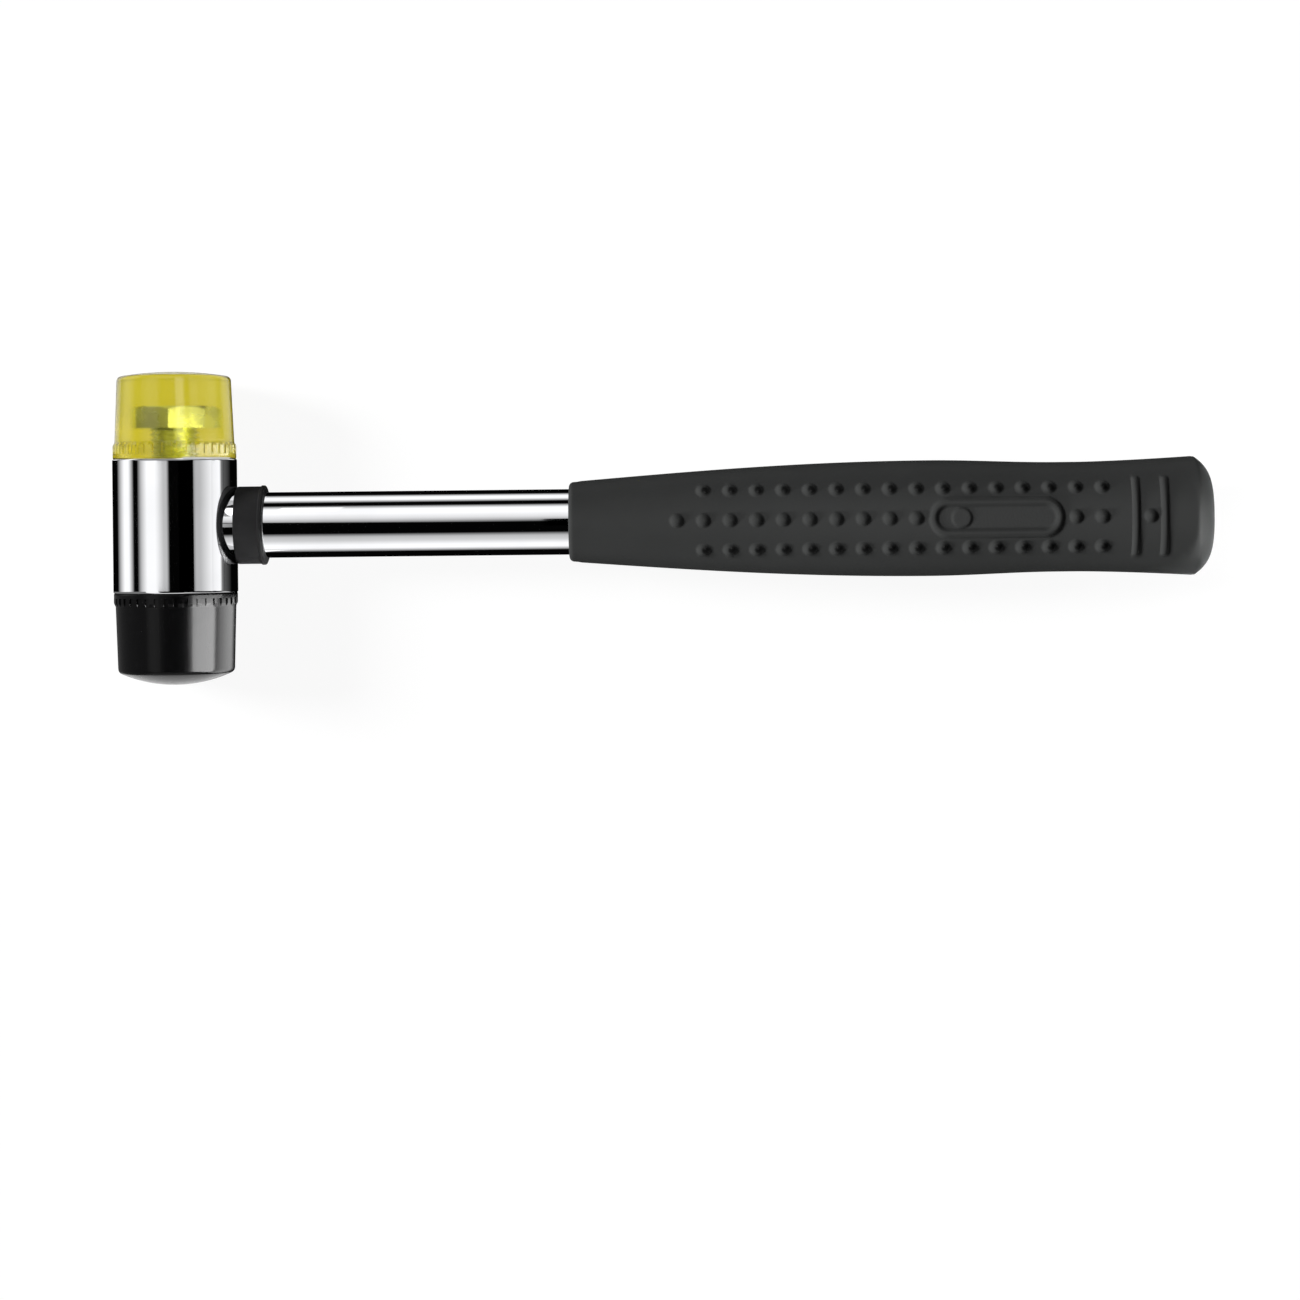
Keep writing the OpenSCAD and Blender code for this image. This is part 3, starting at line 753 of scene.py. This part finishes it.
def zinc_finish(settings):
    """Zinc plated bolt: dull metal with clouds of colour and small pits."""
    finish = Finish("bolt_zinc")
    cloud = finish.place.noise(260.0, 4.0).above(0.3, 0.7)
    pits = finish.place.noise(2400.0, 3.0)
    colour = cloud.between(opaque(settings.zinc), opaque(settings.zinc, 0.72))
    finish.set(Base_Color=colour, Metallic=1.0, Roughness=0.2 + 0.12 * cloud)
    finish.bump(pits, 0.02 * MM, 0.5)
    return finish.material


def clear_yellow_finish(settings):
    """Clear yellow plastic: tinted in its depth, polished, with fine scuffs on its surface."""
    finish = Finish("clear_yellow")
    scuff = finish.place.noise(420.0, 5.0, (1.0, 0.25, 1.0)).above(0.5, 0.8)
    ripple = finish.place.noise(160.0, 2.0)
    finish.set(Base_Color=(1.0, 0.985, 0.86, 1.0), Transmission_Weight=1.0, IOR=1.49,
               Roughness=0.2 + 0.06 * scuff)
    finish.bump(ripple, 0.02 * MM, 0.35)
    depth = finish.tree.nodes.new("ShaderNodeVolumeAbsorption")
    depth.inputs["Color"].default_value = opaque(settings.yellow)
    depth.inputs["Density"].default_value = 136.0
    output = finish.tree.nodes["Material Output"]
    finish.tree.links.new(depth.outputs[0], output.inputs["Volume"])
    return finish.material


def face_rubber_finish(settings):
    """Hard black rubber: glossy from its mould, with faint dust and fine flow marks."""
    finish = Finish("face_rubber_gloss")
    dust = finish.place.noise(310.0, 6.0).above(0.52, 0.8)
    flow = finish.place.noise(900.0, 3.0, (1.0, 0.4, 1.0))
    colour = dust.between(opaque(settings.black), opaque(settings.black, 1.35))
    finish.set(Base_Color=colour, Roughness=0.2 + 0.05 * dust + 0.05 * flow, Specular_IOR_Level=0.12)
    finish.bump(flow, 0.006 * MM, 0.5)
    return finish.material


def collar_finish(settings):
    """Matt rubber of the collar, finely grained."""
    finish = Finish("collar_rubber_matt")
    cloud = finish.place.noise(240.0, 4.0)
    grain = finish.place.noise(3200.0, 2.0)
    colour = cloud.between(opaque(settings.soot, 0.85), opaque(settings.soot, 1.25))
    finish.set(Base_Color=colour, Roughness=0.55 + 0.15 * cloud, Specular_IOR_Level=0.06)
    finish.bump(grain, 0.03 * MM, 0.6)
    return finish.material


def grip_finish(settings):
    """Satin grip rubber: fine grain, coarser on the panel's floor, and painted shade darkening the outer
    dots, whose tops are also smoother.
    """
    finish = Finish("grip_rubber_satin")
    form = GripForm(settings)
    x, y, z = finish.place.parts()
    straight = (settings.panel_length - settings.panel_width) / 2
    across = y - float(TUBE_AXIS[1])
    along = abs(x - float(GRIP_LOW[0] + form.panel_at)) - straight
    past = along.math("MAXIMUM", along, 0.0)
    square = past * past + across * across
    edge = square.math("SQRT", square)
    inner = settings.panel_width / 2 - settings.rim
    floor = (inner - edge).above(-0.1 * MM, 0.3 * MM) * (z - float(TUBE_AXIS[2])).above(0.0, 2 * MM)
    # Painted shade: a dark spot on each dot of the two outer rows, moved along the grip towards the butt so
    # that the dots' right sides look shaded.
    shade_shift, shade_reach, shade_soft = 0.45 * MM, 0.72 * settings.dot, 0.45 * settings.dot
    step = x - float(GRIP_LOW[0] + settings.dot_first + shade_shift)
    column = settings.dot_pitch * (step.math("FRACT", step / settings.dot_pitch + 0.5) - 0.5)
    row = abs(across) - settings.dot_row
    square = column * column + row * row
    crown = (shade_reach - square.math("SQRT", square)).above(0.0, shade_soft)
    last = form.rib_at - settings.rib_width - settings.dot - settings.dot_first
    half_pitch = settings.dot_pitch / 2
    # Mask of the painted shade on the outer dots, which also makes them smoother and less grained.
    dot_shade_and_polish = crown * step.above(half_pitch - 0.1 * MM, half_pitch) * (last - step).above(0.0, 0.1 * MM)
    cloud = finish.place.noise(120.0, 5.0)
    grain = finish.place.noise(2600.0, 3.0)
    coarse = finish.place.noise(1500.0, 3.0)
    colour = cloud.between(opaque(settings.charcoal, 0.9), opaque(settings.charcoal, 1.12))
    # Painted shade: the outer dots' colour darkened to 0.15 of the rubber's.
    colour = dot_shade_and_polish.between(colour, opaque(settings.charcoal, 0.15))
    finish.set(Base_Color=colour, Roughness=0.44 + 0.12 * cloud + 0.08 * grain - 0.15 * dot_shade_and_polish,
               Specular_IOR_Level=0.06)
    finish.bump(grain * (1 - floor) * (1 - dot_shade_and_polish) + 2.2 * coarse * floor, 0.03 * MM, 0.6)
    return finish.material


def plug_finish():
    """Moulded plastic of the plug inside the tube."""
    finish = Finish("plug_plastic_moulded")
    cloud = finish.place.noise(300.0, 4.0)
    colour = cloud.between((0.03, 0.03, 0.03, 1.0), (0.05, 0.05, 0.052, 1.0))
    finish.set(Base_Color=colour, Roughness=0.5 + 0.15 * cloud)
    finish.bump(cloud, 0.02 * MM, 0.4)
    return finish.material


# Stage

def floor_finish():
    """White floor: the camera and clear plastic see it white, and the hammer's shadow stays on it."""
    material = bpy.data.materials.new("studio_floor")
    material.use_nodes = True
    tree = material.node_tree
    tree.nodes.clear()
    ray = tree.nodes.new("ShaderNodeLightPath")
    start = Shade(tree, ray.outputs["Is Camera Ray"])
    through = Shade(tree, ray.outputs["Is Transmission Ray"])
    matt = start.node("ShaderNodeBsdfDiffuse", None, {"Color": (0.8, 0.8, 0.8, 1.0)})
    faint = start.node("ShaderNodeBsdfDiffuse", None, {"Color": (0.1, 0.1, 0.1, 1.0)})
    white = start.node("ShaderNodeEmission", None, {"Color": WHITE, "Strength": 0.93})
    seen = start.node("ShaderNodeAddShader", None, {0: faint, 1: white})
    glow = start.node("ShaderNodeEmission", None, {"Color": WHITE, "Strength": 1.0})
    mixed = start.node("ShaderNodeMixShader", None, {0: start, 1: matt, 2: seen})
    mixed = start.node("ShaderNodeMixShader", None, {0: through, 1: mixed, 2: glow})
    output = tree.nodes.new("ShaderNodeOutputMaterial")
    tree.links.new(mixed.socket, output.inputs["Surface"])
    return material


def studio_world(level):
    """Light tent: even white light, and for mirrors four walls of soft-edged white panels and dark gaps.

    A wall's brightness is a ramp over the angle from straight up, and the wall is picked by the larger of
    the two level parts of the direction. Clear plastic sees a tent that is bright on its right side.
    """
    world = bpy.data.worlds.new("light_tent")
    bpy.context.scene.world = world
    world.use_nodes = True
    world.cycles.sampling_method = "NONE"
    tree = world.node_tree
    tree.nodes.clear()
    texture = tree.nodes.new("ShaderNodeTexCoord")
    x, y, z = Shade(tree, texture.outputs["Generated"]).parts()
    fall = z.math("ARCCOSINE", z) / math.pi

    def wall(*stops):
        """Brightness of a wall, from angles in degrees and the levels there."""
        return z.node("ShaderNodeValToRGB", {"stops": [(angle / 180, value) for angle, value in stops]},
                      {0: fall})

    left = wall((22, DARK), (24, 1.0), (44, 1.0), (56, 0.5), (64, DARK), (73, DARK), (86, 1.0), (98, 1.0),
                (123, DARK))
    right = wall((38, DARK), (48, 0.46), (56, 0.48), (86, 1.0), (97, 1.0), (105, 0.12), (134, DARK))
    back = wall((4, DARK), (14, 0.5), (22, 0.75), (38, 1.0), (55, 1.0), (69, DARK), (82, DARK), (96, 1.0),
                (108, 1.0), (124, DARK))
    front = wall((33, DARK), (46, 0.5), (60, 0.63), (78, 1.0), (92, 1.0), (112, DARK))
    sideways = (abs(x) - abs(y)).above(-0.02, 0.02)
    level_walls = x.above(-0.01, 0.01).between(left, right)
    depth_walls = y.above(-0.01, 0.01).between(front, back)
    tent = sideways.between(depth_walls, level_walls)
    ray = tree.nodes.new("ShaderNodeLightPath")
    mirrored = Shade(tree, ray.outputs["Is Glossy Ray"])
    seen = Shade(tree, ray.outputs["Is Camera Ray"])
    even = z.node("ShaderNodeBackground", None, {"Color": WHITE, "Strength": level})
    walls = z.node("ShaderNodeBackground", None, {"Color": tent, "Strength": 1.15})
    white = z.node("ShaderNodeBackground", None, {"Color": WHITE, "Strength": 1.0})
    through = Shade(tree, ray.outputs["Is Transmission Ray"])
    sides = z.node("ShaderNodeValToRGB", {"stops": [(0.1, 0.21), (0.22, 0.5), (0.7, 0.54), (0.84, 1.0)]},
                   {0: 0.5 + 0.5 * x})
    glow = z.node("ShaderNodeBackground", None, {"Color": sides, "Strength": 2.0})
    mixed = z.node("ShaderNodeMixShader", None, {0: mirrored, 1: even, 2: walls})
    mixed = z.node("ShaderNodeMixShader", None, {0: through, 1: mixed, 2: glow})
    mixed = z.node("ShaderNodeMixShader", None, {0: seen, 1: mixed, 2: white})
    output = tree.nodes.new("ShaderNodeOutputWorld")
    tree.links.new(mixed.socket, output.inputs["Surface"])


def light_only(source, *pieces):
    """Lets a lamp or card light some pieces and leave the others dark."""
    lit = bpy.data.collections.new(source.name)
    for piece in pieces:
        lit.objects.link(bpy.data.objects[piece])
    source.light_linking.receiver_collection = lit


def add_sheet(name, corners, strength, fade=None, lit=(), sampled=False):
    """Bright card that only mirrors and clear plastic see, from its front: a sheet over four corners.

    A fade gives an axis and the places along it where the light has a given share. A card may be kept to
    some pieces, and a sampled one gives its light as a lamp does.
    """
    mesh = bpy.data.meshes.new(name)
    mesh.from_pydata([tuple(value * MM for value in corner) for corner in corners], [], [(0, 1, 2, 3)])
    card = bpy.data.objects.new(name, mesh)
    bpy.context.scene.collection.objects.link(card)
    if lit:
        light_only(card, *lit)
    material = bpy.data.materials.new(name)
    material.use_nodes = True
    if not sampled:
        material.cycles.emission_sampling = "NONE"
    tree = material.node_tree
    tree.nodes.clear()
    place = Shade(tree, tree.nodes.new("ShaderNodeTexCoord").outputs["Object"])
    behind = Shade(tree, tree.nodes.new("ShaderNodeNewGeometry").outputs["Backfacing"])
    light = place.node("ShaderNodeEmission", None, {"Color": WHITE, "Strength": strength})
    if fade:
        axis, stops = fade
        first, length = stops[0][0], stops[-1][0] - stops[0][0]
        along = (place.parts()[axis] - first * MM) / (length * MM)
        share = place.node("ShaderNodeValToRGB", {"stops": [((at - first) / length, s) for at, s in stops]},
                           {0: along})
        tree.links.new(share.socket, light.socket.node.inputs["Color"])
    clear = place.node("ShaderNodeBsdfTransparent")
    mixed = place.node("ShaderNodeMixShader", None, {0: behind, 1: light, 2: clear})
    output = tree.nodes.new("ShaderNodeOutputMaterial")
    tree.links.new(mixed.socket, output.inputs["Surface"])
    mesh.materials.append(material)
    card.visible_camera = False
    card.visible_diffuse = False
    card.visible_shadow = False


def add_card(name, facing, place, spans, strength, **more):
    """Card that faces along an axis: its place on that axis and its spans on the other two, in order."""
    axis = "XYZ".index(facing[1])
    first, second = spans
    corners = [(first[i], second[j]) for i, j in ((0, 0), (1, 0), (1, 1), (0, 1))]
    corners = [(*corner[:axis], place, *corner[axis:]) for corner in corners]
    if facing in ("-X", "+Y", "-Z"):
        corners.reverse()
    add_sheet(name, corners, strength, **more)


def add_lamp(name, kind, energy, source):
    """Lamp that mirrors and clear plastic don't see, with its light coming from a direction."""
    lamp = bpy.data.objects.new(name, bpy.data.lights.new(name, kind))
    lamp.data.energy = energy
    lamp.rotation_euler = Vector(source).to_track_quat("Z", "Y").to_euler()
    lamp.visible_glossy = False
    lamp.visible_transmission = False
    bpy.context.scene.collection.objects.link(lamp)
    return lamp


# Bright cards and dark flags, in millimetres. A fade goes along x, 0, or z, 2.
CARDS = {
    "head_ceiling": dict(
        facing="-Z", place=200, spans=((-212, -122), (-19.5, 21)), strength=1.15,
        fade=(0, [(-212, 1.0), (-190, 0.85), (-156, 0.52), (-138, 0.5), (-122, DARK)])),
    "head_flag_back": dict(facing="-Y", place=17.2, spans=((-135, -108), (30.2, 46)), strength=0.3),
    "grip_screen": dict(
        facing="-X", place=-44, spans=((-18, 18), (-2, 37)), strength=1.15,
        fade=(2, [(-2, 0.05), (7, 0.2), (13, 1.0), (30, 0.9), (37, 0.8)])),
    "rubber_flag": dict(facing="+X", place=-141, spans=((-62, -15.8), (0, 45)), strength=0.2),
    "grip_ceiling": dict(
        facing="-Z", place=300, spans=((-40, 145), (-60, 60)), strength=17.0,
        fade=(0, [(-40, DARK), (60, 0.5), (145, 1.0)]), lit=["moulded_grip"], sampled=True),
    "butt_flag": dict(facing="-X", place=129, spans=((-60, 30), (28, 58)), strength=0.0),
    "butt_card": dict(
        facing="-Z", place=50, spans=((140, 165), (-45, 5)), strength=90.0, lit=["moulded_grip"]),
    "flange_sheen": dict(
        facing="-X", place=-97, spans=((17.6, 21.5), (14, 60)), strength=7.0, lit=["clear_yellow_face"]),
    "rubber_softbox": dict(
        facing="-X", place=-78, spans=((-64, -17.2), (16, 70)), strength=34.0,
        lit=["black_rubber_face", "neck_collar"]),
    "rubber_side": dict(
        facing="-X", place=-98, spans=((-50, -17.2), (0, 24.5)), strength=9.0,
        fade=(2, [(0, 0.03), (4, 0.08), (18, 1.0), (21.5, 0.95), (23, 0.4), (24.5, 0.3)]),
        lit=["black_rubber_face"]),
    "dome_floor": dict(facing="+Z", place=0, spans=((-150, -104), (-120, -40)), strength=1.4),
    "yellow_right": dict(facing="-X", place=-97, spans=((19, 46), (0, 16)), strength=1.0),
    "yellow_left": dict(facing="+X", place=-140, spans=((19, 46), (0, 16)), strength=1.0),
    "yellow_end": dict(facing="-Y", place=42, spans=((-145, -101), (0, 20)), strength=1.0),
    "yellow_streak": dict(facing="-Z", place=45, spans=((-112, -105), (20, 48)), strength=3.0),
    "yellow_sheen": dict(facing="-Z", place=45, spans=((-98, -82), (28, 48)), strength=1.3),
}
# Slanted flags that hug the head's two end edges: their outline in x and z, their places and strength.
HEAD_FLAG = ((-115, 27.5), (-113.2, 31.2), (-102.6, 21.2), (-104.5, 19))
HEAD_FLAG_FRONT = -15.9
HEAD_FLAG_SIDE = 17.1
HEAD_FLAG_STRENGTH = 0.6


# Operators

class HAMMER_OT_head(Operator):
    """Steel head with its rounded ends and tapped hole"""

    bl_idname = "hammer.head"
    bl_label = "Plated head"

    def execute(self, context):
        settings = context.scene.hammer_head
        rows = on_head(head_rows(settings), HEAD_AXIS[1], 1)
        add_piece("plated_head", closed_skin(rows, looped=True), plated_finish(settings),
                  HAMMER_BODY, ["head_body"])
        return {"FINISHED"}


class HAMMER_OT_bolts(Operator):
    """Hexagon bolts that the two faces are moulded on"""

    bl_idname = "hammer.bolts"
    bl_label = "Face bolts"

    def execute(self, context):
        settings = context.scene.hammer_head
        reach = HEAD_HIGH[1] - PLASTIC_BOLT_LOW[1]
        rows = bolt_rows(settings, reach)
        finish = zinc_finish(settings)
        add_piece("plastic_face_hex_bolt", closed_skin(on_head(rows, HEAD_HIGH[1], 1)), finish,
                  PLASTIC_UNIT, ["plastic_face_bolt"], sharp=25)
        add_piece("rubber_face_hex_bolt", closed_skin(on_head(rows, HEAD_LOW[1], -1)), finish,
                  RUBBER_UNIT, ["rubber_face_bolt"], sharp=25)
        return {"FINISHED"}


class HAMMER_OT_faces(Operator):
    """Clear yellow plastic face and black rubber face"""

    bl_idname = "hammer.faces"
    bl_label = "Striking faces"

    def execute(self, context):
        s = context.scene.hammer_faces
        seat = HEAD_HIGH[1] + SEAT_GAP
        plastic = face_rows(s, (PLASTIC_HIGH[0] - PLASTIC_LOW[0]) / 2, PLASTIC_HIGH[1] - seat,
                            s.plastic_flange, s.plastic_base, s.plastic_tip, s.plastic_edge,
                            s.plastic_crown)
        add_piece("clear_yellow_face", closed_skin(on_head(plastic, seat, 1)), clear_yellow_finish(s),
                  PLASTIC_UNIT, ["plastic_face"])
        rubber = face_rows(s, (RUBBER_HIGH[0] - RUBBER_LOW[0]) / 2, HEAD_LOW[1] - RUBBER_LOW[1],
                           s.rubber_flange, s.rubber_base, s.rubber_tip, s.rubber_edge, s.rubber_crown)
        add_piece("black_rubber_face", closed_skin(on_head(rubber, HEAD_LOW[1], -1)), face_rubber_finish(s),
                  RUBBER_UNIT, ["rubber_face"])
        return {"FINISHED"}


class HAMMER_OT_handle(Operator):
    """Plated tube, the plug in its end and the rubber collar at its neck"""

    bl_idname = "hammer.handle"
    bl_label = "Tube and collar"

    def execute(self, context):
        plating = bpy.data.materials.get("bright_plating") or plated_finish(context.scene.hammer_head)
        add_piece("plated_tube", closed_skin(on_handle(tube_rows()), looped=True), plating,
                  HAMMER_BODY, ["handle_tube"])
        add_piece("neck_collar", closed_skin(on_handle(collar_rows()), looped=True),
                  collar_finish(context.scene.hammer_grip), HAMMER_BODY, ["tube_collar"])
        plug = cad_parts["tube_end_plug"]
        plug.data.materials.clear()
        plug.data.materials.append(plug_finish())
        return {"FINISHED"}


class HAMMER_OT_grip(Operator):
    """Moulded rubber grip with its dots, panel, ribs and bevelled butt"""

    bl_idname = "hammer.grip"
    bl_label = "Rubber grip"

    def execute(self, context):
        settings = context.scene.hammer_grip
        add_piece("moulded_grip", closed_skin(GripForm(settings).rows()), grip_finish(settings),
                  HAMMER_BODY, ["grip"], sharp=50)
        return {"FINISHED"}


class HAMMER_OT_stage(Operator):
    """White floor, light tent, cards, lamps and the camera over the hammer"""

    bl_idname = "hammer.stage"
    bl_label = "Stage"

    def execute(self, context):
        settings = context.scene.hammer_stage
        scene = context.scene
        scene.view_settings.view_transform = "Standard"
        studio_world(settings.daylight)

        mesh = bpy.data.meshes.new("studio_floor")
        half = FLOOR_HALF
        mesh.from_pydata([(-half, -half, 0), (half, -half, 0), (half, half, 0), (-half, half, 0)], [],
                         [(0, 1, 2, 3)])
        mesh.materials.append(floor_finish())
        floor = bpy.data.objects.new("studio_floor", mesh)
        scene.collection.objects.link(floor)
        floor.location.z = -FLOOR_DROP
        floor.visible_glossy = False

        for name, card in CARDS.items():
            add_card(name, **card)
        for name, y, outline in (("head_flag_front", HEAD_FLAG_FRONT, HEAD_FLAG),
                                 ("head_flag_side", HEAD_FLAG_SIDE, HEAD_FLAG[::-1])):
            add_sheet(name, [(x, y, z) for x, z in outline], HEAD_FLAG_STRENGTH)

        key = add_lamp("key_light", "SUN", settings.key, KEY_FROM)
        key.data.angle = KEY_SPREAD
        side = add_lamp("dot_light", "SUN", settings.dot_light, DOT_LIGHT_FROM)
        side.data.angle = DOT_LIGHT_SPREAD
        light_only(side, "moulded_grip")
        low = add_lamp("butt_light", "AREA", settings.butt_light, BUTT_LIGHT_FROM)
        low.data.size = BUTT_LIGHT_SIZE
        low.location = (GRIP_HIGH[0] + 0.045, TUBE_AXIS[1] - 0.010, 0.016)
        low.visible_camera = False

        camera = bpy.data.cameras.new("camera")
        camera.sensor_width = SENSOR_WIDTH
        camera.lens = SENSOR_WIDTH * settings.distance / settings.frame_width
        camera.shift_x = -settings.place[0]
        camera.shift_y = -settings.place[1]
        eye = bpy.data.objects.new("camera", camera)
        eye.location = (0, 0, TUBE_AXIS[2] + settings.distance)
        eye.rotation_euler = (0, 0, -settings.roll)
        scene.collection.objects.link(eye)
        scene.camera = eye
        return {"FINISHED"}


class HAMMER_PT_sidebar(Panel):
    """Lists the pieces of the hammer and their sizes"""

    bl_idname = "HAMMER_PT_sidebar"
    bl_label = "Soft face hammer"
    bl_space_type = "VIEW_3D"
    bl_region_type = "UI"
    bl_category = "Hammer"

    def draw(self, context):
        for operator in OPERATORS:
            self.layout.operator(operator.bl_idname)
        for name, group in SETTINGS.items():
            box = self.layout.box()
            box.label(text=group.__doc__)
            for key in group.__annotations__:
                box.prop(getattr(context.scene, name), key)


OPERATORS = (
    HAMMER_OT_head,
    HAMMER_OT_bolts,
    HAMMER_OT_faces,
    HAMMER_OT_handle,
    HAMMER_OT_grip,
    HAMMER_OT_stage,
)
SETTINGS = {
    "hammer_head": HammerHeadSettings,
    "hammer_faces": HammerFaceSettings,
    "hammer_grip": HammerGripSettings,
    "hammer_stage": HammerStageSettings,
}


def register():
    """Registers the settings, the operators and the sidebar."""
    for group in SETTINGS.values():
        bpy.utils.register_class(group)
    for name, group in SETTINGS.items():
        setattr(bpy.types.Scene, name, PointerProperty(type=group))
    for operator in OPERATORS:
        bpy.utils.register_class(operator)
    bpy.utils.register_class(HAMMER_PT_sidebar)


def unregister():
    """Takes them out again, in the opposite order."""
    bpy.utils.unregister_class(HAMMER_PT_sidebar)
    for operator in reversed(OPERATORS):
        bpy.utils.unregister_class(operator)
    for name in SETTINGS:
        delattr(bpy.types.Scene, name)
    for group in reversed(list(SETTINGS.values())):
        bpy.utils.unregister_class(group)


def main():
    """Makes the pieces in order."""
    register()
    bpy.ops.hammer.head()
    bpy.ops.hammer.bolts()
    bpy.ops.hammer.faces()
    bpy.ops.hammer.handle()
    bpy.ops.hammer.grip()
    bpy.ops.hammer.stage()


if __name__ == "__main__":
    main()
